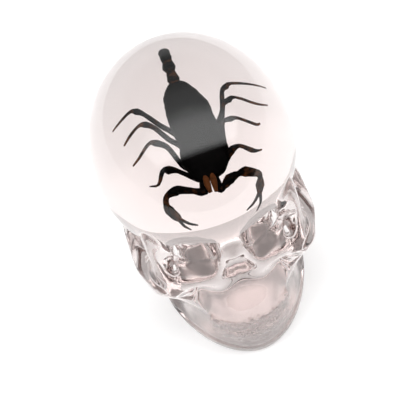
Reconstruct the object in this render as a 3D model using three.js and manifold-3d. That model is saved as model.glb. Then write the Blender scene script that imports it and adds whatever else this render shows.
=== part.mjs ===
// A clear cast skull with a dried scorpion sealed in its dome.
// Millimetres. +Z is up and the table is Z = 0. The face looks along -Y, and X runs across it.
// The clear casting is parted in two around the pocket that holds the scorpion.

import * as THREE from "three";
import { mergeVertices } from "three/addons/utils/BufferGeometryUtils.js";
import Module from "manifold-3d";

const wasm = await Module();
wasm.setup();

// ---- Driving dimensions of the skull. Points are [x, y, z], for the side where x is positive. ----

const dome = { centre: [-0.4, -3, 48], radii: [25.5, 31, 27], templePinch: 1.2 };

const brow = {
  line: [
    [0, -31.2, 43.6],
    [4, -31.3, 45],
    [8.5, -30, 45.6],
    [13, -27.2, 44],
    [16.4, -23.8, 41],
  ],
  radii: [2.6, 2.4, 2.2, 2, 2],
};

// Each section of the face: its height, half width, front, and how square it is.
const face = {
  widest: -16,
  back: -4,
  sections: [
    { z: 13, half: 11.4, front: -34.2, square: 2.5 },
    { z: 15.4, half: 11.9, front: -34.6, square: 2.5 },
    { z: 19, half: 11.5, front: -33.4, square: 2.4 },
    { z: 23.5, half: 11.6, front: -31, square: 2.4 },
    { z: 27, half: 12.6, front: -30.2, square: 2.4 },
    { z: 31, half: 14.2, front: -29.8, square: 2.5 },
    { z: 38, half: 17, front: -29.4, square: 2.6 },
    { z: 44, half: 18.2, front: -29.6, square: 2.6 },
    { z: 48, half: 14, front: -28, square: 2.4 },
  ],
};

const noseBridge = {
  line: [
    [0, -30, 43.5],
    [0, -31.2, 39.5],
    [0, -33.6, 35.6],
  ],
  radii: [2.6, 2, 2],
};

const noseFlank = {
  line: [
    [1.4, -30.2, 41.5],
    [3, -31, 35.4],
    [4.9, -30.2, 30.5],
    [5.8, -29.2, 25.5],
  ],
  radii: [1.9, 1.7, 1.7, 1.7],
};

const cheek = {
  body: { centre: [16, -22.2, 26.6], radii: [6.2, 6.8, 4.9] },
  socketRim: {
    line: [
      [5.4, -29, 28.4],
      [11.5, -28.2, 28.4],
      [16, -26.2, 30.2],
      [17, -24.6, 35.5],
      [16.4, -23.8, 41],
    ],
    radii: [1.8, 2.1, 2.1, 1.9, 2],
  },
  arch: {
    line: [
      [18.5, -22.6, 26.6],
      [21.6, -16.5, 27],
      [22, -9, 27.8],
      [21.7, -2, 28.8],
      [20, 4, 30],
    ],
    radii: [3.2, 2.3, 2, 2.1, 2.6],
  },
  // The ridge from the cheekbone down to the gum.
  buttress: {
    line: [
      [16.2, -23.4, 24.6],
      [12.6, -24.6, 20.4],
      [10.4, -24.4, 16],
    ],
    radii: [3.2, 2.6, 2.4],
  },
  web: { from: [13.6, -20, 23.4], to: [21.4, 3, 28.6] },
};

// The jaw's outline at each height, as for the face.
const jaw = {
  widest: 1,
  back: 6,
  sections: [
    { z: 0, half: 18.6, front: -30.6, square: 1.8 },
    { z: 1, half: 19.3, front: -31.6, square: 1.8 },
    { z: 3.6, half: 18.6, front: -33.4, square: 1.8 },
    { z: 6, half: 16.6, front: -33, square: 1.85 },
    { z: 8.4, half: 14.4, front: -33.8, square: 2 },
    { z: 10.4, half: 12.6, front: -33.4, square: 2.1 },
  ],
};

// The plate behind the outer rim of each eye socket.
const templePlate = {
  line: [
    [17, -22, 27],
    [17.6, -22, 34],
    [17.8, -22, 39],
    [17, -22, 44],
  ],
  radii: [[2.4, 4.2], [2, 4.4], [2, 4.4], [2.2, 4]],
};

const ramus = {
  line: [
    [16.6, -5, 3],
    [16.9, -3.6, 12],
    [17.6, -2.4, 22],
    [18.2, -1.6, 29],
  ],
  radii: [[2.4, 6.4], [1.9, 6], [1.8, 5.6], [1.9, 5]],
};

// The middle of the casting, from the table up to the dome. The back of the head overhangs it.
const core = {
  widest: -6,
  sections: [
    { z: 0, half: 15.8, front: -24, back: 8.6, square: 2.8 },
    { z: 1, half: 16.4, front: -25, back: 9.6, square: 2.8 },
    { z: 10, half: 15.6, front: -25, back: 9.8, square: 3.2 },
    { z: 20, half: 16, front: -25, back: 10, square: 3.4 },
    { z: 28, half: 16.6, front: -24, back: 10, square: 3 },
    { z: 36, half: 19, front: -22, back: 10, square: 2.2 },
  ],
};

const mastoid = { centre: [17.6, 4.6, 23], radii: [3, 4.2, 7] };

const teeth = {
  bite: 11.7,
  upperTop: 15.2,
  lowerBottom: 8.2,
  count: 12,
  half: 11.8,
  front: -34.6,
  bow: 0.056, // the row falls back by this times x squared
  bulge: 0.7,
  thick: 3,
  bevel: 0.6,
};

const eyeSocket = {
  rim: [
    [2.3, 42],
    [8.2, 43.6],
    [12.6, 42.6],
    [14.6, 39.6],
    [14, 33.8],
    [11, 30.8],
    [6.4, 30.4],
    [4, 34],
  ],
  mouthAt: -38,
  lipAt: -29,
  endAt: -20.5,
  apex: [8.6, 36.6],
  narrowing: 0.68,
};

const noseHole = {
  rim: [
    [0, 33.2],
    [2.2, 32.6],
    [4.2, 29.4],
    [3.4, 27.6],
    [0.9, 27.4],
    [0, 28.1],
  ],
  mouthAt: -40,
  lipAt: -31,
  endAt: -28,
  apex: [0, 30],
  narrowing: 0.6,
};

// ---- Driving dimensions of the scorpion, as [across, towards the tail, up] on the slope it lies on. ----

const bed = { origin: [0, -11, 56.5], slopeDeg: 32 };

// Each section of the trunk: where it is, its half width, the middle across, and its belly and back.
const trunk = [
  { along: -9.8, half: 0.9, middle: 0.5, belly: -0.7, back: 0.9 },
  { along: -9.2, half: 1.8, middle: 0.7, belly: -1, back: 1.3 },
  { along: -7, half: 3.1, middle: 1.2, belly: -1.3, back: 1.9 },
  { along: -4.8, half: 4.2, middle: 1.2, belly: -1.4, back: 2.2 },
  { along: -1.7, half: 4.3, middle: 1.3, belly: -1.5, back: 2.2 },
  { along: 2, half: 4.1, middle: 0.8, belly: -1.6, back: 2.4 },
  { along: 5, half: 4.05, middle: 0.75, belly: -1.6, back: 2.4 },
  { along: 8.4, half: 3.15, middle: 0.3, belly: -1.4, back: 2.1 },
  { along: 10.4, half: 2, middle: 0.25, belly: -1, back: 1.5 },
  { along: 11.4, half: 1, middle: 0.2, belly: -0.7, back: 1 },
];

const jawClaws = [
  { line: [[-0.3, -8.6, 0.5], [-0.55, -10.6, 0.5], [-0.5, -12.4, 0.2]], radii: [0.75, 0.8, 0.35] },
  { line: [[1, -8.6, 0.5], [0.95, -10.6, 0.5], [0.75, -12.6, 0.2]], radii: [0.75, 0.8, 0.35] },
];

// Each limb is a chain of [across, along, up, radius].
const pincers = {
  left: {
    arm: [
      [-0.9, -9.6, -0.3, 0.8],
      [-1.5, -11.8, -0.2, 0.8],
      [-3.2, -11.2, 0, 0.65],
      [-5.6, -10.1, 0.2, 0.75],
      [-6.6, -10, 0.2, 0.95],
      [-8.6, -10.5, 0.2, 0.75],
      [-9.4, -12.2, 0.1, 0.7],
      [-9.3, -13.6, 0, 1],
      [-8.5, -15.6, 0, 0.95],
      [-8.1, -16.6, 0, 0.6],
    ],
    fingers: [
      [[-8, -16.4, 0.1, 0.42], [-6.6, -18.1, 0.1, 0.34], [-5.1, -19.1, 0.1, 0.16]],
      [[-8.3, -16.4, -0.1, 0.42], [-7.9, -18.2, -0.1, 0.32], [-6.9, -19.7, -0.1, 0.16]],
    ],
  },
  right: {
    arm: [
      [1.2, -9.8, -0.3, 0.8],
      [1.5, -12.4, -0.2, 0.75],
      [2.3, -12.4, -0.1, 0.65],
      [3.8, -11.3, 0.1, 0.95],
      [6, -10.9, 0.2, 0.75],
      [7, -11, 0.2, 0.95],
      [9.6, -12.3, 0.2, 0.8],
      [10, -13.4, 0.1, 0.7],
      [9.6, -15, 0, 1],
      [9.1, -17, 0, 0.65],
    ],
    fingers: [
      [[9, -16.8, 0.1, 0.42], [7.4, -18.6, 0.1, 0.34], [5.5, -19.7, 0.1, 0.16]],
      [[9.3, -16.8, -0.1, 0.42], [9, -19.2, -0.1, 0.34], [7.8, -21, -0.1, 0.16]],
    ],
  },
};

const legs = [
  [[-1, -8.6, -0.9, 0.6], [-1.9, -8.8, -0.6, 0.5], [-4.7, -6.3, 0.3, 0.45], [-6.3, -5.5, 0.4, 0.75],
    [-7.5, -5.3, 0.3, 0.5], [-9.2, -7.5, 0, 0.3], [-11.1, -7.2, 0, 0.14]],
  [[-1, -7, -1, 0.6], [-3.2, -5.9, -0.7, 0.45], [-4.2, -3.4, 0.2, 0.5], [-5.1, -1, 0.5, 0.5],
    [-6.8, 0.6, 0.4, 0.6], [-8.2, 1, 0.2, 0.4], [-10.8, -0.8, -0.1, 0.28], [-12.7, -1.9, -0.2, 0.13]],
  [[-0.8, -5.4, -1.1, 0.6], [-2.6, -1.4, -0.9, 0.5], [-4.3, 0.5, 0, 0.5], [-6.1, 3.6, 0.5, 0.45],
    [-7.6, 5, 0.4, 0.58], [-9, 5.3, 0.2, 0.38], [-11.4, 4, -0.1, 0.26], [-13, 2.8, -0.2, 0.13]],
  [[-0.6, -4, -1.2, 0.6], [-2.8, 1.2, -0.9, 0.5], [-4.9, 3.7, 0, 0.5], [-7.1, 7, 0.5, 0.45],
    [-8.4, 8.3, 0.4, 0.62], [-9.7, 8.9, 0.2, 0.4], [-12.4, 7.9, -0.1, 0.24], [-14.7, 6.8, -0.2, 0.13]],
  [[1.6, -8.6, -0.9, 0.6], [2.6, -8.8, -0.6, 0.45], [4, -7.8, 0, 0.4], [5.6, -6, 0.3, 0.68],
    [7.6, -5.5, 0.3, 0.42], [9.7, -7.1, 0, 0.45], [11, -7.6, 0, 0.22], [11.9, -7.7, 0, 0.13]],
  [[2, -7, -1, 0.6], [4.5, -4, -0.7, 0.45], [5.4, -1.6, 0.2, 0.5], [6.1, 0.1, 0.5, 0.4],
    [7.7, 0.3, 0.4, 0.55], [9.1, 0, 0.2, 0.34], [12.2, -2.2, -0.1, 0.26], [13.2, -2.2, -0.2, 0.13]],
  [[2, -5.4, -1.1, 0.6], [4.2, -3, -0.9, 0.5], [6.1, 1, 0, 0.5], [7.2, 3.4, 0.5, 0.4],
    [8.6, 4.2, 0.4, 0.6], [10, 4.4, 0.2, 0.34], [13.8, 2.1, -0.1, 0.26], [16.8, 1.2, -0.2, 0.13]],
  [[2, -4, -1.2, 0.6], [4.6, 0, -0.9, 0.5], [6.7, 2.6, 0, 0.5], [7.9, 6.2, 0.5, 0.45],
    [9, 7.1, 0.4, 0.6], [10.3, 7.6, 0.2, 0.4], [14.6, 6.6, -0.1, 0.24], [18.6, 5.4, -0.2, 0.13]],
];

// The tail runs back for three rings, then turns down and forward under itself to the sting.
const tail = [
  [0.2, 10.6, 0.2, 0.9],
  [0.2, 11.6, 0.2, 1.1],
  [0.2, 14, 0.3, 0.95],
  [0.25, 14.4, 0.3, 1.1],
  [0.3, 16.8, 0.2, 0.95],
  [0.3, 17.2, 0.1, 1.1],
  [0.3, 19.2, -1.2, 0.95],
  [0.3, 19.4, -1.6, 1.1],
  [0.3, 19.4, -4.6, 0.9],
  [0.3, 19.2, -5, 1.05],
  [0.3, 17.2, -7.2, 0.9],
  [0.3, 16.6, -7.6, 0.8],
  [0.3, 15.2, -8.2, 1.1],
  [0.3, 13.6, -8.2, 0.4],
  [0.3, 12.4, -7.2, 0.14],
];

// ---- The pocket in the resin, on the same slope, and the plane that the casting is parted on. ----

const pocket = {
  outline: [
    [0.3, 21.6], [11, 13.4], [20.2, 6.8], [18, -1], [13.8, -10], [10.6, -20.2], [7.8, -22.2],
    [0, -20.6], [-7.2, -20.8], [-11.4, -14], [-13.2, -6], [-16.2, 5.2], [-12, 12],
  ],
  floor: -1.5,
  roof: 1.5,
  body: { centre: [0.9, 0.6, 0.2], radii: [5.7, 13, 3.4] },
  tailRoom: 0.5,
};

const parting = { through: [0, -11, 56.5], slopeDeg: 20, gap: 0.3 };

// ---- Tools ----

const BOTH_SIDES = [1, -1];
const FORWARDS = [0, -1, 0];
const at = (p) => new THREE.Vector3(...p);
const onSide = (side, [x, y, z]) => [side * x, y, z];
const signedPower = (value, power) => Math.sign(value) * Math.abs(value) ** power;
const radians = THREE.MathUtils.degToRad;

function solidOf(geometry) {
  geometry.deleteAttribute("normal");
  geometry.deleteAttribute("uv");
  const merged = mergeVertices(geometry, 1e-4);
  const mesh = new wasm.Mesh({
    numProp: 3,
    vertProperties: merged.getAttribute("position").array,
    triVerts: new Uint32Array(merged.index.array),
  });
  return new wasm.Manifold(mesh);
}

function geometryOf(solid) {
  const { vertProperties, triVerts, numProp } = solid.getMesh();
  const indexed = new THREE.BufferGeometry();
  indexed.setAttribute("position", new THREE.BufferAttribute(vertProperties, numProp));
  indexed.setIndex(new THREE.BufferAttribute(triVerts, 1));
  const flat = indexed.toNonIndexed();
  flat.computeVertexNormals();
  return flat;
}

function moveVertices(geometry, move) {
  const position = geometry.getAttribute("position");
  const point = new THREE.Vector3();
  for (let i = 0; i < position.count; i++) {
    move(point.fromBufferAttribute(position, i));
    position.setXYZ(i, point.x, point.y, point.z);
  }
  return geometry;
}

const join = (solids) => solids.reduce((whole, solid) => whole.add(solid));
const cut = (solid, tools) => tools.reduce((left, tool) => left.subtract(tool), solid);

function ball(centre, radii, detail = 2) {
  const geometry = new THREE.IcosahedronGeometry(1, detail);
  return solidOf(geometry.scale(...radii).translate(...centre));
}

// A tube along a line of points with its own radius at each. No part of the line runs along upright.
function bar(line, radii, sides = 10, upright = FORWARDS) {
  const points = line.map(at);
  const last = points.length - 1;
  const geometry = new THREE.CylinderGeometry(1, 1, 1, sides, last);
  moveVertices(geometry, (point) => {
    const ring = Math.round((point.y + 0.5) * last);
    const along = points[Math.min(ring + 1, last)].clone().sub(points[Math.max(ring - 1, 0)]).normalize();
    const up = at(upright).projectOnPlane(along).normalize();
    const out = along.clone().cross(up);
    const [x, z] = [point.x * radii[ring], point.z * radii[ring]];
    point.copy(points[ring]).addScaledVector(out, x).addScaledVector(up, z);
  });
  return solidOf(geometry);
}

// A stack of rings along Z. ringPoint gives a ring's point from the cosine and sine round it.
function stack(count, sides, ringPoint) {
  const geometry = new THREE.CylinderGeometry(1, 1, 1, sides, count - 1);
  moveVertices(geometry, (point) => {
    const ring = Math.round((point.y + 0.5) * (count - 1));
    point.set(...ringPoint(ring, point.x, -point.z));
  });
  return solidOf(geometry);
}

// A stack of squared ovals, each with its own half width, front and back.
function ovalStack({ widest, back, sections }, sides = 24) {
  return stack(sections.length, sides, (ring, across, along) => {
    const section = sections[ring];
    const power = 2 / section.square;
    const reach = along < 0 ? widest - section.front : (section.back ?? back) - widest;
    const x = section.half * signedPower(across, power);
    const y = widest + reach * signedPower(along, power);
    return [x, y, section.z];
  });
}

// A hole with a smooth rim drawn in X and Z, cut along +Y and narrowing towards its apex.
function hole({ rim, mouthAt, lipAt, endAt, apex, narrowing }, corners) {
  const curve = new THREE.CatmullRomCurve3(rim.map(([x, z]) => at([x, z, 0])), true, "centripetal");
  const outline = new THREE.Shape(curve.getPoints(corners).slice(0, -1));
  const depth = endAt - mouthAt;
  const geometry = new THREE.ExtrudeGeometry(outline, { depth, steps: 3, bevelEnabled: false });
  moveVertices(geometry, (point) => {
    const y = endAt - point.z;
    const inwards = Math.max(0, (y - lipAt) / (endAt - lipAt));
    const size = 1 - (1 - narrowing) * inwards;
    point.set(apex[0] + (point.x - apex[0]) * size, y, apex[1] + (point.y - apex[1]) * size);
  });
  return solidOf(geometry);
}

// ---- The skull ----

function cranium() {
  const [rx, ry, rz] = dome.radii;
  const geometry = new THREE.IcosahedronGeometry(1, 7);
  moveVertices(geometry, (point) => {
    const temple = Math.exp(-(((point.y + 0.62) / 0.22) ** 2) - ((point.z + 0.35) / 0.4) ** 2);
    const x = point.x * (rx - dome.templePinch * temple);
    point.set(x, point.y * ry, point.z * rz).add(at(dome.centre));
  });
  return solidOf(geometry);
}

// An upright plate with a squared oval outline at each height.
function plate({ line, radii }, side) {
  return stack(line.length, 16, (ring, across, along) => {
    const [thick, wide] = radii[ring];
    const [x, y, z] = onSide(side, line[ring]);
    return [x + thick * signedPower(across, 0.8), y + wide * signedPower(along, 0.8), z];
  });
}

function cheekWeb(side) {
  const [x0, y0, z0] = cheek.web.from;
  const [x1, y1, z1] = cheek.web.to;
  const box = new THREE.BoxGeometry(x1 - x0, y1 - y0, z1 - z0);
  return solidOf(box.translate((side * (x0 + x1)) / 2, (y0 + y1) / 2, (z0 + z1) / 2));
}

// A row of teeth as one bow-shaped bar, with a round bulge in its front for each tooth.
function toothRow(low, high) {
  const { count, half, front, bow, bulge, thick, bevel } = teeth;
  const steps = count * 2;
  const outline = new THREE.Shape();
  for (let i = 0; i <= steps; i++) {
    const x = half * (1 - (2 * i) / steps);
    const y = front + bow * x ** 2 - bulge * (i % 2);
    outline[i ? "lineTo" : "moveTo"](x, y);
  }
  outline.lineTo(-half, front + bow * half ** 2 + thick);
  outline.lineTo(0, front + thick * 2);
  outline.lineTo(half, front + bow * half ** 2 + thick);
  const geometry = new THREE.ExtrudeGeometry(outline, {
    depth: high - low - 2 * bevel,
    bevelThickness: bevel,
    bevelSize: bevel,
    bevelOffset: -bevel,
    bevelSegments: 1,
  });
  return solidOf(geometry.translate(0, 0, low + bevel));
}

const mirroredLine = (line) => [...line.slice(1).map((point) => onSide(-1, point)).reverse(), ...line];
const mirroredRadii = (radii) => [...radii.slice(1).reverse(), ...radii];

function skull() {
  const sided = BOTH_SIDES.flatMap((side) => {
    const onThis = (line) => line.map((point) => onSide(side, point));
    return [
      bar(onThis(noseFlank.line), noseFlank.radii),
      ball(onSide(side, cheek.body.centre), cheek.body.radii),
      bar(onThis(cheek.socketRim.line), cheek.socketRim.radii),
      bar(onThis(cheek.arch.line), cheek.arch.radii, 10, [0, 0, 1]),
      bar(onThis(cheek.buttress.line), cheek.buttress.radii, 8),
      ball(onSide(side, mastoid.centre), mastoid.radii, 1),
      cheekWeb(side),
      plate(templePlate, side),
      plate(ramus, side),
    ];
  });
  const middle = [
    bar(mirroredLine(brow.line), mirroredRadii(brow.radii)),
    ovalStack(face),
    bar(noseBridge.line, noseBridge.radii),
    ovalStack(jaw, 28),
    ovalStack(core),
    toothRow(teeth.bite, teeth.upperTop),
    toothRow(teeth.lowerBottom, teeth.bite),
  ];
  const leftRim = { ...eyeSocket };
  leftRim.rim = eyeSocket.rim.map(([x, z]) => [-x, z]).reverse();
  leftRim.apex = [-eyeSocket.apex[0], eyeSocket.apex[1]];
  const noseRim = { ...noseHole };
  noseRim.rim = [...noseHole.rim, ...noseHole.rim.slice(1, -1).map(([x, z]) => [-x, z]).reverse()];
  const holes = [hole(eyeSocket, 18), hole(leftRim, 18), hole(noseRim, 16)];
  return cut(join([cranium(), ...sided, ...middle]), holes);
}

// ---- The scorpion, and the slope it lies on ----

const bedMatrix = new THREE.Matrix4()
  .makeRotationX(radians(bed.slopeDeg))
  .setPosition(...bed.origin);
const onBed = (geometry) => geometry.applyMatrix4(bedMatrix);

function limb(chain, sides = 5, upright = [0, 0, 1], extra = 0) {
  const turned = at(upright).transformDirection(bedMatrix).toArray();
  const line = chain.map(([x, y, z]) => at([x, y, z]).applyMatrix4(bedMatrix).toArray());
  const radii = chain.map(([, , , radius]) => radius + extra);
  return bar(line, radii, sides, turned);
}

function trunkSolid() {
  const geometry = new THREE.CylinderGeometry(1, 1, 1, 16, trunk.length - 1);
  moveVertices(geometry, (point) => {
    const { along, half, middle, belly, back } = trunk[Math.round((point.y + 0.5) * (trunk.length - 1))];
    const up = point.z > 0 ? back * point.z : -belly * point.z;
    point.set(middle + half * point.x, along, up);
  });
  return solidOf(onBed(geometry));
}

function scorpion() {
  const claws = jawClaws.map(({ line, radii }) => limb(line.map((p, i) => [...p, radii[i]])));
  const arms = Object.values(pincers).flatMap(({ arm, fingers }) => [
    limb(arm, 6),
    ...fingers.map((finger) => limb(finger)),
  ]);
  return join([trunkSolid(), ...claws, ...arms, ...legs.map((leg) => limb(leg)), limb(tail, 7, [1, 0, 0])]);
}

function pocketSolid() {
  const points = pocket.outline.map(([across, along]) => at([across, along, 0]));
  const curve = new THREE.CatmullRomCurve3(points, true, "centripetal");
  const outline = new THREE.Shape(curve.getPoints(28).slice(0, -1));
  const depth = pocket.roof - pocket.floor;
  const slab = new THREE.ExtrudeGeometry(outline, { depth, bevelEnabled: false });
  const body = new THREE.IcosahedronGeometry(1, 2).scale(...pocket.body.radii);
  return join([
    solidOf(onBed(slab.translate(0, 0, pocket.floor))),
    solidOf(onBed(body.translate(...pocket.body.centre))),
    limb(tail, 7, [1, 0, 0], pocket.tailRoom),
  ]);
}

// Half of space above or below the parting plane, as a large box.
function partingBlock(side) {
  const size = 200;
  const box = new THREE.BoxGeometry(size, size, size);
  box.translate(0, 0, (side * (size + parting.gap)) / 2);
  return solidOf(box.rotateX(radians(parting.slopeDeg)).translate(...parting.through));
}

// ---- The object ----

const clearResin = new THREE.MeshStandardMaterial({
  color: 0xf0e4e2,
  roughness: 0.04,
  metalness: 0,
  transparent: true,
  opacity: 0.35,
});
const driedShell = new THREE.MeshStandardMaterial({ color: 0x120d0a, roughness: 0.35, metalness: 0 });

function named(name, solid, material) {
  const mesh = new THREE.Mesh(geometryOf(solid), material);
  mesh.name = name;
  return mesh;
}

const hollowSkull = skull().subtract(pocketSolid());
const object = new THREE.Group();
object.add(
  named("resin_crown", hollowSkull.intersect(partingBlock(1)), clearResin),
  named("resin_base", hollowSkull.intersect(partingBlock(-1)), clearResin),
  named("scorpion", scorpion(), driedShell),
);

export default object;
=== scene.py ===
import math

import bmesh
import bpy
from mathutils import Matrix, Vector, noise


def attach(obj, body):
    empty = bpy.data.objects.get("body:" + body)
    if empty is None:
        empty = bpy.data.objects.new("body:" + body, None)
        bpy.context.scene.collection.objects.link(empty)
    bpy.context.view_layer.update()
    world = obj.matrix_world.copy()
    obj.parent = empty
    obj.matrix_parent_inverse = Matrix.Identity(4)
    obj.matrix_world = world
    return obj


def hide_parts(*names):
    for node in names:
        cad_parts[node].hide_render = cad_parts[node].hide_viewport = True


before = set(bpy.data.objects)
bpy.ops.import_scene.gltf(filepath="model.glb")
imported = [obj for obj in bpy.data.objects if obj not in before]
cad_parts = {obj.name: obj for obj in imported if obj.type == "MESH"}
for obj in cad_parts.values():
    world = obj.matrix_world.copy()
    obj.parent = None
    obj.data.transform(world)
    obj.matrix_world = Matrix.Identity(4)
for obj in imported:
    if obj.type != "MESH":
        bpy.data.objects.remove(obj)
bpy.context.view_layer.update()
scene = bpy.context.scene
mm = 0.001  # every size below is in millimetres

# The skull: lines and sections are for the side where x is positive. The face looks along -y.

dome = {
    "centre": (-0.4, -3, 48),
    "radii": (25.5, 31, 27),
    "templePinch": 1.2,
    "temple": {"y": -0.62, "long": 0.22, "z": -0.35, "tall": 0.4},  # the pinched place, on a unit ball
}

bars = {
    "brow": {
        "line": [(0, -31.2, 43.6), (4, -31.3, 45), (8.5, -30, 45.6), (13, -27.2, 44), (16.4, -23.8, 41)],
        "radii": [2.7, 2.6, 2.4, 2.2, 2.2],
        "upright": (0, -1, 0),
    },
    "noseBridge": {
        "line": [(0, -30, 43.5), (0, -31.2, 39.5), (0, -33.8, 35.4)],
        "radii": [2.7, 2.2, 2.1],
        "upright": (0, -1, 0),
    },
    "noseFlank": {
        "line": [(1.4, -30.2, 41.5), (3, -31, 35.4), (4.9, -30.4, 30.5), (5.8, -29.4, 25.5)],
        "radii": [2, 1.9, 1.9, 1.9],
        "upright": (0, -1, 0),
    },
    "socketRim": {
        "line": [(5.4, -29, 28.4), (11.5, -28.4, 28.4), (16, -26.3, 30.2), (17, -24.6, 35.5),
                 (16.4, -23.8, 41)],
        "radii": [2, 2.3, 2.3, 2.1, 2.2],
        "upright": (0, -1, 0),
    },
    "cheekArch": {
        "line": [(18.5, -22.6, 26.6), (21.6, -16.5, 27), (22, -9, 27.8), (21.7, -2, 28.8), (20, 4, 30)],
        "radii": [3.4, 2.6, 2.3, 2.4, 2.8],
        "upright": (0, 0, 1),
    },
    "buttress": {
        "line": [(16.2, -23.4, 24.6), (12.6, -24.6, 20.4), (10.4, -24.4, 16)],
        "radii": [3.4, 2.9, 2.6],
        "upright": (0, -1, 0),
    },
}

lumps = {
    "cheekbone": {"centre": (16, -22.2, 26.6), "radii": (6.3, 6.9, 5)},
    "mastoid": {"centre": (17.6, 4.6, 23), "radii": (3.3, 4.4, 7.2)},
}

corners = {"block": 0.6, "plate": 0.8}  # 1 is round, and less is squarer

# Rounded blocks: the cheek's solid side, out to the arch.
blocks = {
    "cheekWeb": {"centre": (17.6, -8.4, 26.2), "size": (4.4, 13.6, 3.6)},
}

# Upright plates: points up the middle, and half thickness and half width at each.
plates = {
    "temple": {
        "line": [(17, -22, 27), (17.6, -22, 34), (17.8, -22, 39), (17, -22, 44)],
        "radii": [(2.6, 4.4), (2.2, 4.6), (2.2, 4.6), (2.4, 4.2)],
    },
    "ramus": {
        "line": [(16.6, -5, 3), (16.9, -3.6, 12), (17.6, -2.4, 22), (18.2, -1.6, 29)],
        "radii": [(2.6, 6.6), (2.1, 6.2), (2, 5.8), (2.1, 5.2)],
    },
}

# Sections up the middle: height, half width, front, back and how square.
cores = {
    "face": {
        "widest": -16,
        "sections": [
            (11.6, 11.6, -34.5, -4, 2.3),
            (13, 11.7, -34.7, -4, 2.4),
            (15.4, 11.9, -34.6, -4, 2.5),
            (19, 11.5, -33.4, -4, 2.4),
            (23.5, 11.6, -31, -4, 2.4),
            (27, 12.6, -30.2, -4, 2.4),
            (31, 14.2, -29.8, -4, 2.5),
            (38, 17, -29.4, -4, 2.6),
            (44, 18.2, -29.6, -4, 2.6),
            (48, 14, -28, -4, 2.4),
        ],
    },
    "jaw": {
        "widest": 1,
        "sections": [
            (-2, 18.9, -31, 6, 1.8),
            (1, 19.4, -31.8, 6, 1.8),
            (3.6, 18.7, -33.5, 6, 1.8),
            (6, 16.7, -33.1, 6, 1.85),
            (8.4, 14.5, -33.9, 6, 2),
            (10.4, 13, -34, 6, 2.1),
            (11.8, 12.2, -34.3, 6, 2.2),
        ],
    },
    "trunk": {
        "widest": -6,
        "sections": [
            (-2, 15.9, -24.4, 9, 2.3),
            (1, 16.5, -25, 9.7, 2.8),
            (10, 15.7, -25, 9.9, 3.2),
            (20, 16.1, -25, 10.1, 3.4),
            (28, 16.6, -24, 10.1, 3),
            (36, 19, -22, 10, 2.2),
        ],
    },
}

teeth = {
    "bite": 11.7,
    "top": 15.6,
    "bottom": 8,
    "front": -34.9,
    "bow": 0.056,  # the row falls back by this times x squared
    "widths": [2.2, 1.8, 2, 1.9, 1.9, 2.2],
    "lowerScale": 0.86,
    "fill": 0.47,  # half of a tooth's place, less the gap beside it
    "depth": 1.2,
}

holes = {
    "eyeSocket": {
        "rim": [(2.3, 42), (8.2, 43.6), (12.6, 42.6), (14.6, 39.6),
                (14, 33.8), (11, 30.8), (6.4, 30.4), (4, 34)],
        "lip": -29,
        "end": -20.5,
        "apex": (8.6, 36.6),
        "narrowing": 0.68,
    },
    "noseHole": {
        "rim": [(0, 33.2), (2.2, 32.6), (4.2, 29.4), (3.4, 27.6), (0.9, 27.4), (0, 28.1),
                (-0.9, 27.4), (-3.4, 27.6), (-4.2, 29.4), (-2.2, 32.6)],
        "lip": -31,
        "end": -28.2,
        "apex": (0, 30),
        "narrowing": 0.6,
    },
}

cutting = {"above": 9, "slices": 14, "steps": 6}  # how far the cutters stand out, and how fine they are

casting = {
    "blendVoxel": 0.6,
    "blendSmooth": 90,
    "finalVoxel": 0.48,
    "finalSmooth": 12,
    "domeReach": (0.35, 0.9),  # nearer than the first is drawn onto the dome, past the second left alone
    "waviness": 0.02,
    "waves": (0.32, 0.8),
    "seam": (2.8, 0.55, 0.4),  # the height, half width and depth of the groove round the jaw
}


def signedPower(value, power):
    return math.copysign(abs(value) ** power, value)


def mirrored(point, side):
    return Vector((side * point[0], point[1], point[2]))


def smoothLine(points, radii, steps=5):  # a Catmull-Rom curve through the points, and the radius along it
    knots = [Vector(p) for p in points]
    padded = [2 * knots[0] - knots[1], *knots, 2 * knots[-1] - knots[-2]]
    line, sizes = [], []
    for i in range(len(knots) - 1):
        a, b, c, d = padded[i:i + 4]
        for step in range(steps):
            t = step / steps
            line.append(0.5 * (2 * b + (c - a) * t + (2 * a - 5 * b + 4 * c - d) * t ** 2
                               + (3 * b - a - 3 * c + d) * t ** 3))
            sizes.append(radii[i] * (1 - t) + radii[i + 1] * t)
    return line + [knots[-1]], sizes + [radii[-1]]


def loft(bm, stations, sides, place):  # rings placed by a function, bridged and capped
    loops = []
    for station in stations:
        ring = bmesh.ops.create_circle(bm, segments=sides, radius=1)["verts"]
        for vert in ring:
            vert.co = Vector(place(station, vert.co.x, vert.co.y))
        loops.append(list(dict.fromkeys(edge for vert in ring for edge in vert.link_edges)))
    for low, high in zip(loops, loops[1:]):
        bmesh.ops.bridge_loops(bm, edges=low + high)
    for end in (loops[0], loops[-1]):
        bmesh.ops.edgeloop_fill(bm, edges=end)


def tube(bm, line, radii, upright, sides=16):
    last = len(line) - 1

    def place(i, x, y):
        along = (line[min(i + 1, last)] - line[max(i - 1, 0)]).normalized()
        up = (Vector(upright) - along * along.dot(Vector(upright))).normalized()
        out = along.cross(up)
        return line[i] + out * (x * radii[i]) + up * (y * radii[i])

    loft(bm, range(last + 1), sides, place)


def ellipsoid(bm, centre, radii, detail=4):
    matrix = Matrix.Translation(Vector(centre)) @ Matrix.Diagonal((*radii, 1))
    bmesh.ops.create_icosphere(bm, subdivisions=detail, radius=1, matrix=matrix)


def roundedBlock(bm, centre, size, turn=0, detail=3):
    block = bmesh.ops.create_icosphere(bm, subdivisions=detail, radius=1)["verts"]
    for vert in block:
        shaped = Vector([signedPower(v, corners["block"]) for v in vert.co])
        vert.co = Matrix.Rotation(turn, 3, "Z") @ (shaped * Vector(size)) + Vector(centre)


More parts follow.
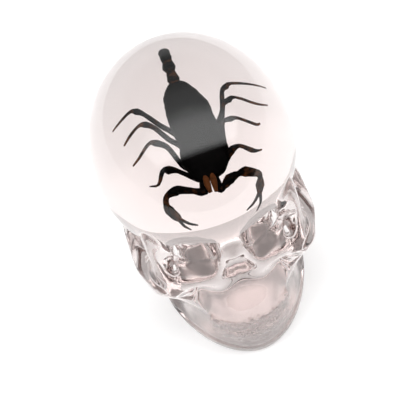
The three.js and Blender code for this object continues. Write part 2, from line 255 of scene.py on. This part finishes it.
def addObject(name, bm):
    bmesh.ops.recalc_face_normals(bm, faces=bm.faces)
    mesh = bpy.data.meshes.new(name)
    bm.to_mesh(mesh)
    bm.free()
    obj = bpy.data.objects.new(name, mesh)
    scene.collection.objects.link(obj)
    return obj


def applied(obj):  # makes the modified mesh the object's own
    graph = bpy.context.evaluated_depsgraph_get()
    mesh = bpy.data.meshes.new_from_object(obj.evaluated_get(graph))
    obj.modifiers.clear()
    old, obj.data = obj.data, mesh
    bpy.data.meshes.remove(old)
    return obj


def remeshed(obj, voxel, rounds):  # fuses what overlaps, then smooths the joins
    remesh = obj.modifiers.new("fuse", "REMESH")
    remesh.mode = "VOXEL"
    remesh.voxel_size = voxel
    smooth = obj.modifiers.new("smooth", "SMOOTH")
    smooth.factor = 0.5
    smooth.iterations = rounds
    return applied(obj)


def domeSurface(direction):  # the point of the dome's surface in a direction from its centre
    rx, ry, rz = dome["radii"]
    n = Vector((direction.x / rx, direction.y / ry, direction.z / rz)).normalized()
    temple = dome["temple"]
    along = (n.y - temple["y"]) / temple["long"]
    above = (n.z - temple["z"]) / temple["tall"]
    pinch = math.exp(-along ** 2 - above ** 2)
    return Vector((n.x * (rx - dome["templePinch"] * pinch), n.y * ry, n.z * rz))


def buildDome(bm):
    ball = bmesh.ops.create_icosphere(bm, subdivisions=6, radius=1)["verts"]
    radii = Vector(dome["radii"])
    for vert in ball:
        vert.co = domeSurface(vert.co * radii) + Vector(dome["centre"])


def buildCore(bm, shape):
    widest = shape["widest"]

    def place(section, x, y):
        z, half, front, back, square = section
        reach = widest - front if y < 0 else back - widest
        return half * signedPower(x, 2 / square), widest + reach * signedPower(y, 2 / square), z

    loft(bm, shape["sections"], 64, place)


def buildPlate(bm, shape, side):
    def place(station, x, y):
        middle, (thick, wide) = station
        x, y = (signedPower(v, corners["plate"]) for v in (x, y))
        return mirrored(middle, side) + Vector((thick * x, wide * y, 0))

    loft(bm, list(zip(shape["line"], shape["radii"])), 32, place)


def buildHole(bm, shape, side=1):
    rim = shape["rim"] + shape["rim"][:1]
    curve = smoothLine([(x, 0, z) for x, z in rim], [0] * len(rim), cutting["steps"])[0][:-1]
    count = len(curve)
    mouth = shape["lip"] - cutting["above"]
    slices = cutting["slices"]
    depths = [mouth + (shape["end"] - mouth) * i / slices for i in range(slices + 1)]

    def place(y, cosine, sine):
        point = curve[round(math.atan2(sine, cosine) / math.tau * count) % count]
        inwards = max(0, (y - shape["lip"]) / (shape["end"] - shape["lip"]))
        size = 1 - (1 - shape["narrowing"]) * inwards
        x, z = shape["apex"]
        return side * (x + (point.x - x) * size), y, z + (point.z - z) * size

    loft(bm, depths, count, place)


def buildTeeth(bm):
    for side in (1, -1):
        rows = (teeth["bite"], teeth["top"], 1), (teeth["bottom"], teeth["bite"], teeth["lowerScale"])
        for low, high, grow in rows:
            x = 0
            for width in teeth["widths"]:
                wide = width * grow
                turn = math.atan(2 * teeth["bow"] * (x + wide / 2))
                x += wide / 2 * math.cos(turn)
                y = teeth["front"] + teeth["bow"] * x ** 2 + teeth["depth"]
                size = (wide * teeth["fill"], teeth["depth"], (high - low) / 2)
                roundedBlock(bm, (side * x, y, (low + high) / 2), size, side * turn)
                x += wide / 2 * math.cos(turn)


def buildSkull():
    bm = bmesh.new()
    buildDome(bm)
    for shape in cores.values():
        buildCore(bm, shape)
    for side in (1, -1):
        for bar in bars.values():
            line, radii = smoothLine([mirrored(p, side) for p in bar["line"]], bar["radii"])
            tube(bm, line, radii, bar["upright"])
        for lump in lumps.values():
            ellipsoid(bm, mirrored(lump["centre"], side), lump["radii"])
        for plate in plates.values():
            buildPlate(bm, plate, side)
        for block in blocks.values():
            roundedBlock(bm, mirrored(block["centre"], side), block["size"], 0, 4)
    skull = remeshed(addObject("resin_skull", bm), casting["blendVoxel"], casting["blendSmooth"])
    print("skull blended", len(skull.data.polygons))

    cutter = bmesh.new()
    buildHole(cutter, holes["eyeSocket"], 1)
    buildHole(cutter, holes["eyeSocket"], -1)
    buildHole(cutter, holes["noseHole"])
    hollow = addObject("hollows", cutter)
    cut = skull.modifiers.new("hollows", "BOOLEAN")
    cut.operation = "DIFFERENCE"
    cut.solver = "EXACT"
    cut.object = hollow
    applied(skull)
    bpy.data.objects.remove(hollow)
    print("sockets cut", len(skull.data.polygons))

    bm = bmesh.new()
    bm.from_mesh(skull.data)
    buildTeeth(bm)
    bm.to_mesh(skull.data)
    bm.free()
    remeshed(skull, casting["finalVoxel"], casting["finalSmooth"])
    finishCasting(skull)
    print("skull cast", len(skull.data.polygons))
    return skull


def finishCasting(skull):  # a true dome, a little waviness on the face, a flat base
    centre = Vector(dome["centre"])
    near, far = casting["domeReach"]
    long, short = casting["waves"]
    height, half, depth = casting["seam"]
    bm = bmesh.new()
    bm.from_mesh(skull.data)
    for vert in bm.verts:
        out = vert.co - centre
        target = domeSurface(out) + centre
        off = (vert.co - target).length
        if off < far:
            weight = 1 - max(0, (off - near) / (far - near))
            vert.co = vert.co.lerp(target, weight)
        else:
            wave = noise.noise(vert.co * long) + 0.5 * noise.noise(vert.co * short + Vector((9, 4, 2)))
            seam = math.exp(-((vert.co.z - height) / half) ** 2)
            vert.co += vert.normal * (wave * casting["waviness"] - seam * depth)
    geometry = bm.verts[:] + bm.edges[:] + bm.faces[:]
    cut = bmesh.ops.bisect_plane(bm, geom=geometry, plane_co=(0, 0, 0), plane_no=(0, 0, 1), clear_inner=True)
    outline = [part for part in cut["geom_cut"] if isinstance(part, bmesh.types.BMEdge)]
    bmesh.ops.edgeloop_fill(bm, edges=outline)
    for face in bm.faces:
        face.smooth = face.calc_center_median().z > 0.01  # all but the flat base
    bmesh.ops.scale(bm, vec=(mm, mm, mm), verts=bm.verts)
    bm.to_mesh(skull.data)
    bm.free()


class Socket:
    def __init__(self, shader, socket):
        self.shader = shader
        self.socket = socket

    def absolute(self):
        return self.math("ABSOLUTE", self)

    def math(self, operation, *values):
        return self.shader.node("ShaderNodeMath", {"operation": operation}, dict(enumerate(values)))

    def __add__(self, other):
        return self.math("ADD", self, other)

    def __sub__(self, other):
        return self.math("SUBTRACT", self, other)

    def __rsub__(self, other):
        return self.math("SUBTRACT", other, self)

    def __mul__(self, other):
        return self.math("MULTIPLY", self, other)

    __radd__ = __add__
    __rmul__ = __mul__


class Shader:
    def __init__(self, owner):
        owner.use_nodes = True
        self.tree = owner.node_tree
        self.tree.nodes.clear()

    def node(self, kind, settings={}, sockets={}, output=0):
        made = self.tree.nodes.new(kind)
        for key, value in settings.items():
            setattr(made, key, value)
        inputs = {item.name: item for item in reversed(made.inputs) if item.enabled}
        for key, value in sockets.items():
            target = made.inputs[key] if isinstance(key, int) else inputs[key]
            if isinstance(value, Socket):
                self.tree.links.new(value.socket, target)
            else:
                target.default_value = value
        if isinstance(output, str):
            output = [item.enabled and item.name for item in made.outputs].index(output)
        return Socket(self, made.outputs[output]) if made.outputs else None

    def split(self, vector):
        parts = self.tree.nodes.new("ShaderNodeSeparateXYZ")
        self.tree.links.new(vector.socket, parts.inputs[0])
        return [Socket(self, output) for output in parts.outputs]

    def ramp(self, value, low, high, start=0, end=1):  # an eased step from start to end
        return self.node("ShaderNodeMapRange", {"interpolation_type": "SMOOTHSTEP"}, {
            "Value": value, "From Min": low, "From Max": high, "To Min": start, "To Max": end})


resinLook = {
    "ior": 1.5,
    "tint": (1, 1, 1, 1),
    "absorb": (0.65, 0.55, 0.53, 1),
    "density": 20,
    "groundBase": 0.25,  # the sole is ground inside an oval, and polished round its edge
    "sole": {"centre": -11, "radii": (15, 19.5), "edge": (0.92, 1.06), "thin": (0.0001, 0.0004)},
    "toothRow": {  # in metres
        "low": (0.005, 0.0075),
        "high": (0.013, 0.0155),
        "front": (-0.028, -0.023),
        "scale": 1300,
        "pits": (0.45, 0.62),
        "depth": 0.0008,
    },
}


def clearResin():
    material = bpy.data.materials.new("clear_resin")
    shader = Shader(material)
    place = shader.node("ShaderNodeTexCoord", {}, {}, "Object")
    x, y, height = shader.split(place)
    sole = resinLook["sole"]
    across = x * (1 / mm / sole["radii"][0])
    along = (y - sole["centre"] * mm) * (1 / mm / sole["radii"][1])
    reach = across * across + along * along
    ground = shader.ramp(reach, *sole["edge"], 1, 0) * shader.ramp(height, *sole["thin"], 1, 0)
    row = resinLook["toothRow"]
    pits = shader.node("ShaderNodeTexNoise", {}, {"Vector": place, "Scale": row["scale"], "Detail": 2})
    belt = shader.ramp(height, *row["low"]) * shader.ramp(height, *row["high"], 1, 0)
    belt = belt * shader.ramp(y, *row["front"], 1, 0)
    relief = shader.node("ShaderNodeBump", {}, {
        "Strength": 1, "Distance": row["depth"], "Height": belt * shader.ramp(pits, *row["pits"])})
    surface = shader.node("ShaderNodeBsdfPrincipled", {}, {
        "Normal": relief,
        "Base Color": resinLook["tint"],
        "Roughness": ground * resinLook["groundBase"],
        "IOR": resinLook["ior"],
        "Transmission Weight": 1,
    })
    absorb = shader.node("ShaderNodeVolumeAbsorption", {}, {
        "Color": resinLook["absorb"], "Density": resinLook["density"]})
    shader.node("ShaderNodeOutputMaterial", {}, {"Surface": surface, "Volume": absorb})
    return material


# The scorpion. Points are (across, towards the tail, up, radius) on the slope it lies on.

bed = {"origin": (0, -11, 56.5), "slope": 32}

trunk = [  # along, half width, middle, belly, back
    (-10, 1.7, 0.4, -0.7, 0.9),
    (-9.3, 2.9, 0.6, -1, 1.3),
    (-7.1, 4.1, 0.95, -1.3, 1.9),
    (-5, 4.65, 0.85, -1.4, 2.2),
    (-1.7, 4.3, 1.3, -1.5, 2.2),
    (2, 4.1, 0.8, -1.6, 2.4),
    (5, 4.05, 0.75, -1.6, 2.4),
    (8.4, 3.15, 0.3, -1.4, 2.1),
    (10.4, 2, 0.25, -1, 1.5),
    (11.4, 1, 0.2, -0.7, 1),
]

backRings = {"count": 9, "from": -4.2, "to": 10.6, "step": 0.1}  # each ring a little over the next

drying = {"scale": 2.1, "depth": 0.07}  # the unevenness of the dried skin

warmth = {  # how brown each part is along its length
    "claw": (0.7, 1, 0.8),
    "arm": (0.1, 0.1, 0.35, 0.1, 0.15, 0.4, 0.5, 0.35, 0.5, 0.6),
    "finger": (0.5, 0.35, 0.5),
    "leg": (0, 0.05, 0.2, 0.3, 0.25, 0.5, 0.45, 0.95),
    "tail": (0.6, 0.25, 0.4, 0.1, 0.3, 0.1),
}

limbs = {
    "clawLeft": [(-0.3, -9, 0.7, 0.6), (-0.45, -11, 0.6, 0.64), (-0.35, -12.7, 0.2, 0.4)],
    "clawRight": [(0.95, -9, 0.7, 0.6), (0.85, -11, 0.6, 0.64), (0.7, -12.9, 0.2, 0.4)],
    "armLeft": [(-0.9, -9.6, -0.3, 0.8), (-1.5, -11.8, -0.2, 0.95), (-3.2, -11.2, 0, 0.6),
                (-5.6, -10.1, 0.2, 0.85), (-6.6, -10, 0.2, 1.05), (-8.6, -10.5, 0.2, 0.6),
                (-9.4, -12.2, 0.1, 0.65), (-9.3, -13.6, 0, 1.1), (-8.5, -15.6, 0, 1),
                (-8.1, -16.6, 0, 0.5)],
    "fingerLeftA": [(-8, -16.4, 0.1, 0.42), (-6.6, -18.1, 0.1, 0.34), (-5.1, -19.1, 0.1, 0.16)],
    "fingerLeftB": [(-8.3, -16.4, -0.1, 0.42), (-7.9, -18.2, -0.1, 0.32), (-6.9, -19.7, -0.1, 0.16)],
    "armRight": [(1.2, -9.8, -0.3, 0.8), (1.5, -12.4, -0.2, 0.85), (2.3, -12.4, -0.1, 0.6),
                 (3.8, -11.3, 0.1, 1.15), (5.8, -10.9, 0.2, 0.6), (7.2, -11, 0.2, 1.1),
                 (9.6, -12.3, 0.2, 0.8), (10, -13.4, 0.1, 0.6), (9.6, -15, 0, 1.1),
                 (9.1, -17, 0, 0.55)],
    "fingerRightA": [(9, -16.8, 0.1, 0.42), (7.4, -18.6, 0.1, 0.34), (5.5, -19.7, 0.1, 0.16)],
    "fingerRightB": [(9.3, -16.8, -0.1, 0.42), (9, -19.2, -0.1, 0.34), (7.8, -21, -0.1, 0.16)],
    "legLeft1": [(-1, -8.6, -0.9, 0.6), (-1.9, -8.8, -0.6, 0.5), (-4.7, -6.3, 0.3, 0.45),
                 (-6.3, -5.5, 0.4, 0.9), (-7.5, -5.3, 0.3, 0.5), (-9.2, -7.5, 0, 0.3),
                 (-11.1, -7.2, 0, 0.14)],
    "legLeft2": [(-1, -7, -1, 0.6), (-3.2, -5.9, -0.7, 0.45), (-4.2, -3.4, 0.2, 0.5),
                 (-5.1, -1, 0.5, 0.5), (-6.8, 0.6, 0.4, 0.7), (-8.2, 1, 0.2, 0.36),
                 (-10.8, -0.8, -0.1, 0.3), (-12.7, -1.9, -0.2, 0.2)],
    "legLeft3": [(-0.8, -5.4, -1.1, 0.6), (-2.6, -1.4, -0.9, 0.5), (-4.3, 0.5, 0, 0.5),
                 (-6.1, 3.6, 0.5, 0.45), (-7.6, 5, 0.4, 0.68), (-9, 5.3, 0.2, 0.34),
                 (-11.4, 4, -0.1, 0.3), (-13, 2.8, -0.2, 0.2)],
    "legLeft4": [(-0.6, -4, -1.2, 0.6), (-2.8, 1.2, -0.9, 0.5), (-4.9, 3.7, 0, 0.5),
                 (-7.1, 7, 0.5, 0.45), (-8.4, 8.3, 0.4, 0.72), (-9.7, 8.9, 0.2, 0.36),
                 (-12.4, 7.9, -0.1, 0.29), (-14.7, 6.8, -0.2, 0.2)],
    "legRight1": [(1.6, -8.6, -0.9, 0.6), (2.6, -8.8, -0.6, 0.45), (4, -7.8, 0, 0.4),
                  (5.6, -6, 0.3, 0.85), (7.6, -5.5, 0.3, 0.42), (9.7, -7.1, 0, 0.55),
                  (11, -7.6, 0, 0.26), (11.9, -7.7, 0, 0.17)],
    "legRight2": [(2, -7, -1, 0.6), (4.5, -4, -0.7, 0.45), (5.4, -1.6, 0.2, 0.5), (6.1, 0.1, 0.5, 0.4),
                  (7.7, 0.3, 0.4, 0.62), (9.1, 0, 0.2, 0.32), (12.2, -2.2, -0.1, 0.34),
                  (13.2, -2.2, -0.2, 0.2)],
    "legRight3": [(2, -5.4, -1.1, 0.6), (4.2, -3, -0.9, 0.5), (6.1, 1, 0, 0.5), (7.2, 3.4, 0.5, 0.4),
                  (8.6, 4.2, 0.4, 0.66), (10, 4.4, 0.2, 0.32), (13.8, 2.1, -0.1, 0.3),
                  (16.8, 1.2, -0.2, 0.2)],
    "legRight4": [(2, -4, -1.2, 0.6), (4.6, 0, -0.9, 0.5), (6.7, 2.6, 0, 0.5), (7.9, 6.2, 0.5, 0.45),
                  (9, 7.1, 0.4, 0.66), (10.3, 7.6, 0.2, 0.36), (14.6, 6.6, -0.1, 0.28),
                  (18.6, 5.4, -0.2, 0.2)],
    "tail": [(0.2, 10.6, 0.2, 0.85), (0.2, 12, 0.2, 1.2), (0.2, 13.9, 0.3, 0.85),
             (0.25, 14.9, 0.3, 1.2), (0.3, 16.7, 0.2, 0.88), (0.3, 17.7, 0.1, 1.15),
             (0.3, 19.2, -1.2, 0.9), (0.3, 19.4, -1.8, 1.12), (0.3, 19.4, -4.6, 0.9),
             (0.3, 19.2, -5, 1.05), (0.3, 17.2, -7.2, 0.9), (0.3, 16.6, -7.6, 0.8),
             (0.3, 15.2, -8.2, 1.1), (0.3, 13.6, -8.2, 0.4), (0.3, 12.4, -7.2, 0.14)],
}


def trunkStations():
    between = 6  # rings from one of the trunk's rows to the next
    middles = [(middle, along, 0) for along, _, middle, _, _ in trunk]
    line, halves = smoothLine(middles, [half for _, half, _, _, _ in trunk], between)
    heights = smoothLine([(belly, back, 0) for _, _, _, belly, back in trunk], [0] * len(trunk), between)[0]
    pitch = (backRings["to"] - backRings["from"]) / backRings["count"]
    stations = []
    for point, half, height in zip(line, halves, heights):
        behind = (point.y - backRings["from"]) / pitch
        inside = 0 < behind < backRings["count"]
        lap = backRings["step"] * (behind % 1 - 0.5) if inside else 0
        stations.append((point.y, half + lap, point.x, height.x, height.y + lap))
    return stations


def buildScorpion():
    bm = bmesh.new()
    brown = bm.verts.layers.float.new("warmth")

    def place(section, x, y):
        along, half, middle, belly, back = section
        return middle + half * x, along, (back if y > 0 else -belly) * y

    loft(bm, trunkStations(), 32, place)
    sides, steps = 12, 3
    for name, chain in limbs.items():
        kind = next(part for part in warmth if name.startswith(part))
        start = len(bm.verts)
        line, radii = smoothLine([p[:3] for p in chain], [p[3] for p in chain], steps)
        tube(bm, line, radii, (1, 0, 0) if kind == "tail" else (0, 0, 1), sides)
        bm.verts.ensure_lookup_table()
        tones = warmth[kind]
        for i, vert in enumerate(bm.verts[start:]):
            tone = i // sides / steps
            low = min(int(tone), len(tones) - 1)
            high = min(low + 1, len(tones) - 1)
            vert[brown] = tones[low] + (tones[high] - tones[low]) * (tone - int(tone))
    for vert in bm.verts:
        vert.co += vert.normal * noise.noise(vert.co * drying["scale"]) * drying["depth"]
    tilt = Matrix.Rotation(math.radians(bed["slope"]), 4, "X")
    slope = Matrix.Translation(Vector(bed["origin"])) @ tilt
    bmesh.ops.transform(bm, matrix=slope, verts=bm.verts)
    bmesh.ops.scale(bm, vec=(mm, mm, mm), verts=bm.verts)
    for face in bm.faces:
        face.smooth = True
    scorpion = addObject("scorpion_shell", bm)
    print("scorpion", len(scorpion.data.polygons))
    return scorpion


shellLook = {
    "black": (0.0008, 0.0006, 0.0006, 1),
    "brown": (0.12, 0.04, 0.012, 1),
    "roughness": 0.5,
    "specular": 0.03,
    "mottle": {"scale": 900, "strength": 1.6, "edges": (0.2, 0.95)},
}


def driedShell():
    material = bpy.data.materials.new("dried_shell")
    shader = Shader(material)
    place = shader.node("ShaderNodeTexCoord", {}, {}, "Object")
    mottle = shellLook["mottle"]
    spots = shader.node("ShaderNodeTexNoise", {}, {"Vector": place, "Scale": mottle["scale"], "Detail": 4})
    warm = shader.node("ShaderNodeAttribute", {"attribute_name": "warmth"}, {}, "Fac")
    stain = shader.ramp(warm + (spots - 0.5) * mottle["strength"], *mottle["edges"])
    colour = shader.node("ShaderNodeMix", {"data_type": "RGBA"}, {
        "Factor": stain, "A": shellLook["black"], "B": shellLook["brown"]}, "Result")
    surface = shader.node("ShaderNodeBsdfPrincipled", {}, {
        "Base Color": colour,
        "Roughness": shellLook["roughness"],
        "Specular IOR Level": shellLook["specular"],
    })
    shader.node("ShaderNodeOutputMaterial", {}, {"Surface": surface})
    return material


skull = buildSkull()
skull.data.materials.append(clearResin())
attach(skull, "root")
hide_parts("resin_crown", "resin_base")

scorpion = buildScorpion()
scorpion.data.materials.append(driedShell())
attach(scorpion, "root")
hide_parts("scorpion")

# The studio: a plain white table, a wide softbox high in front, a pale room, and a dark front below the box.

table = {
    "corners": ((-1.5, -0.2), (1.5, 2.8)),  # in metres
    "airFilm": 0.05,  # the air between the polished base and the table
    "white": (0.93, 0.93, 0.93, 1),
    "glow": 0.18,
}

# Brightness is by direction. Each pair is the two edges of an eased step. Heights are sines of the rise above
# the table. Runs, all edges of the softbox and the wings' sides are the way out divided by the way up.
# Runs go forwards, and so do the softbox's lower and upper edges.
studio = {
    "lowestRise": 0.02,
    "ceiling": {"back": 0.5, "front": 1, "runs": (-0.6, -0.15)},
    "wings": {"bright": 0.45, "side": (0.4, 0.9), "runs": (-0.3, 0)},  # more ceiling, left and right, behind
    "walls": {"bright": 0.2, "heights": (0.35, 0.85)},
    "sweep": {"bright": 0.75, "side": (0.1, 0.8), "heights": (0.35, 0.6)},  # low, all round but for the front
    "softbox": {"bright": 3.3, "lower": (0.7, 1.04), "upper": (-0.15, 0.35), "side": (1.4, 1.9)},
    "front": {"side": (0.1, 0.5), "horizon": (-0.3, -0.2), "dark": 0.01},
}

view = {
    "target": (0, -5, 36),
    "distance": 420,
    "azimuth": -2,
    "elevation": 42.3,
    "roll": -18,
    "shift": (0.40, -5.97),  # from the target to the frame's middle, right and up
    "framed": 104.81,  # what the frame's width covers at the target
    "sensor": 36,
    "bounces": {"max_bounces": 32, "transmission_bounces": 32, "glossy_bounces": 16},
}


def buildFloor():
    bm = bmesh.new()
    (left, front), (right, back) = table["corners"]
    around = [(left, front), (right, front), (right, back), (left, back)]
    bm.faces.new([bm.verts.new((x, y, -table["airFilm"] * mm)) for x, y in around])
    floor = addObject("floor", bm)
    material = bpy.data.materials.new("light_table")
    shader = Shader(material)
    shader.node("ShaderNodeOutputMaterial", {}, {"Surface": shader.node("ShaderNodeBsdfPrincipled", {}, {
        "Base Color": table["white"],
        "Roughness": 1,
        "Specular IOR Level": 0,
        "Emission Color": (1, 1, 1, 1),
        "Emission Strength": table["glow"],
    })})
    floor.data.materials.append(material)


def lightStudio():
    world = bpy.data.worlds.new("studio")
    shader = Shader(world)
    x, y, z = shader.split(shader.node("ShaderNodeTexCoord", {}, {}, "Generated"))
    rise = z.math("MAXIMUM", z, studio["lowestRise"])
    forward = y.math("DIVIDE", y * -1, rise)
    across = x.math("DIVIDE", x.absolute(), rise)
    aside = y + x.absolute()  # above nothing outside a right angle to the front
    top, wings, walls, low, box, front = (studio[part] for part in (
        "ceiling", "wings", "walls", "sweep", "softbox", "front"))
    ceiling = shader.ramp(forward, *top["runs"], top["back"], top["front"])
    behind = shader.ramp(forward, *wings["runs"], wings["bright"], 0)
    ceiling = ceiling + shader.ramp(across, *wings["side"]) * behind
    wall = walls["bright"] + shader.ramp(z, *walls["heights"]) * (ceiling - walls["bright"])
    sweep = shader.ramp(aside, *low["side"]) * shader.ramp(z, *low["heights"], 1, 0)
    room = wall + sweep * (low["bright"] - wall)
    inBox = shader.ramp(forward, *box["upper"]) * shader.ramp(across, *box["side"], 1, 0)
    lit = room + inBox * (box["bright"] - room)
    inRoom = shader.ramp(forward, *box["lower"], 1, 0)
    inRoom = inRoom.math("MAXIMUM", inRoom, shader.ramp(aside, *front["side"]))
    radiance = lit * (inRoom * shader.ramp(z, *front["horizon"])) + front["dark"]
    background = shader.node("ShaderNodeBackground", {}, {"Color": (1, 1, 1, 1), "Strength": radiance})
    shader.node("ShaderNodeOutputWorld", {}, {"Surface": background})
    scene.world = world


def placeCamera():
    azimuth, elevation, roll = (math.radians(view[key]) for key in ("azimuth", "elevation", "roll"))
    level = Vector((math.cos(azimuth), math.sin(azimuth), 0))
    away = Vector((math.sin(azimuth), -math.cos(azimuth), 0))
    back = away * math.cos(elevation) + Vector((0, 0, math.sin(elevation)))
    upright = back.cross(level)
    right = level * math.cos(roll) + upright * math.sin(roll)
    up = upright * math.cos(roll) - level * math.sin(roll)
    camera = bpy.data.objects.new("camera", bpy.data.cameras.new("camera"))
    target = Vector(view["target"]) + right * view["shift"][0] + up * view["shift"][1]
    turn = Matrix((right, up, back)).transposed().to_4x4()
    camera.matrix_world = Matrix.Translation((target + back * view["distance"]) * mm) @ turn
    camera.data.sensor_width = view["sensor"]
    camera.data.lens = view["sensor"] * view["distance"] / view["framed"]
    scene.collection.objects.link(camera)
    scene.camera = camera


buildFloor()
lightStudio()
placeCamera()
scene.view_settings.view_transform = "Standard"
for kind, most in view["bounces"].items():
    setattr(scene.cycles, kind, most)
print("studio ready")
